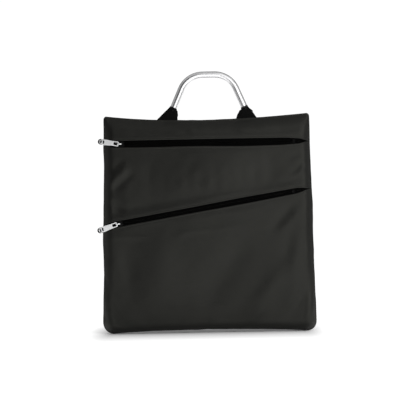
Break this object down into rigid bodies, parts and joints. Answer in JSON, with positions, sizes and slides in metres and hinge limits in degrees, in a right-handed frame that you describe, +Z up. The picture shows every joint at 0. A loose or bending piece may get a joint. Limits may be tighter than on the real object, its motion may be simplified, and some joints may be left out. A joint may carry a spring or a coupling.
{
  "type": "portfolio case",
  "caption": "Flat soft zipped portfolio case with a slanted front pocket zip and an arched metal tube handle hinged in webbing loops.",
  "frame": {"origin": "middle of the whole case's footprint, pull tabs included, on the surface that it stands on", "axes": "+Z up through the handle, +X to the right seen from the front, -Y out of the zipped front, +Y out of the plain back"},
  "size_m": [0.39, 0.0276, 0.4685],
  "materials": {
    "shell_fabric": "black woven polyester with a soft sheen",
    "lining_fabric": "black plain-weave lining",
    "binding_tape": "black grosgrain",
    "zip_tape": "black knitted zip tape",
    "zip_coil": "black nylon coil",
    "zip_stop": "black lacquer",
    "slider_black": "black lacquer, satin",
    "nickel": "bright nickel plate",
    "webbing": "black ribbed nylon webbing",
    "tube_aluminium": "satin polished",
    "end_fitting": "black moulded nylon, satin",
    "pin_steel": "drawn steel"
  },
  "bodies": {
    "bag": {"back_panel": "shell_fabric", "front_top_panel": "shell_fabric", "front_middle_panel": "shell_fabric", "front_lower_panel": "shell_fabric", "pocket_lining": "lining_fabric", "seam_binding": "binding_tape", "webbing_loop_left": "webbing", "webbing_loop_right": "webbing", "upper_tape_top": "zip_tape", "upper_tape_bottom": "zip_tape", "upper_coil_top": "zip_coil", "upper_coil_bottom": "zip_coil", "upper_left_stops": "zip_stop", "upper_right_stop": "zip_stop", "lower_tape_top": "zip_tape", "lower_tape_bottom": "zip_tape", "lower_coil_top": "zip_coil", "lower_coil_bottom": "zip_coil", "lower_left_stops": "zip_stop", "lower_right_stop": "zip_stop"},
    "handle": {"handle_tube": "tube_aluminium", "handle_end_left": "end_fitting", "handle_end_right": "end_fitting", "handle_pin_left": "pin_steel", "handle_pin_right": "pin_steel"},
    "upper_slider": {"upper_slider_body": "slider_black", "upper_slider_bridge": "nickel"},
    "upper_pull": {"upper_pull_tab": "nickel"},
    "lower_slider": {"lower_slider_body": "slider_black", "lower_slider_bridge": "nickel"},
    "lower_pull": {"lower_pull_tab": "nickel"}
  },
  "joints": [
    {"name": "handle_swing", "type": "hinge", "parent": "bag", "child": "handle", "pos_m": [0.0083, 0.0038, 0.3925], "axis": [1, 0, 0], "range_deg": [-115, 115]},
    {"name": "upper_zip_slide", "type": "slide", "parent": "bag", "child": "upper_slider", "axis": [1, 0, 0], "range_m": [0, 0.3]},
    {"name": "lower_zip_slide", "type": "slide", "parent": "bag", "child": "lower_slider", "axis": [0.986, 0, 0.1668], "range_m": [0, 0.307]},
    {"name": "upper_pull_flip", "type": "hinge", "parent": "upper_slider", "child": "upper_pull", "pos_m": [-0.1549, -0.0115, 0.3403], "axis": [0.1495, 0, 0.9888], "range_deg": [0, 175]},
    {"name": "lower_pull_flip", "type": "hinge", "parent": "lower_slider", "child": "lower_pull", "pos_m": [-0.15988, -0.0115, 0.19687], "axis": [-0.3289, 0, 0.9444], "range_deg": [0, 175]}
  ]
}
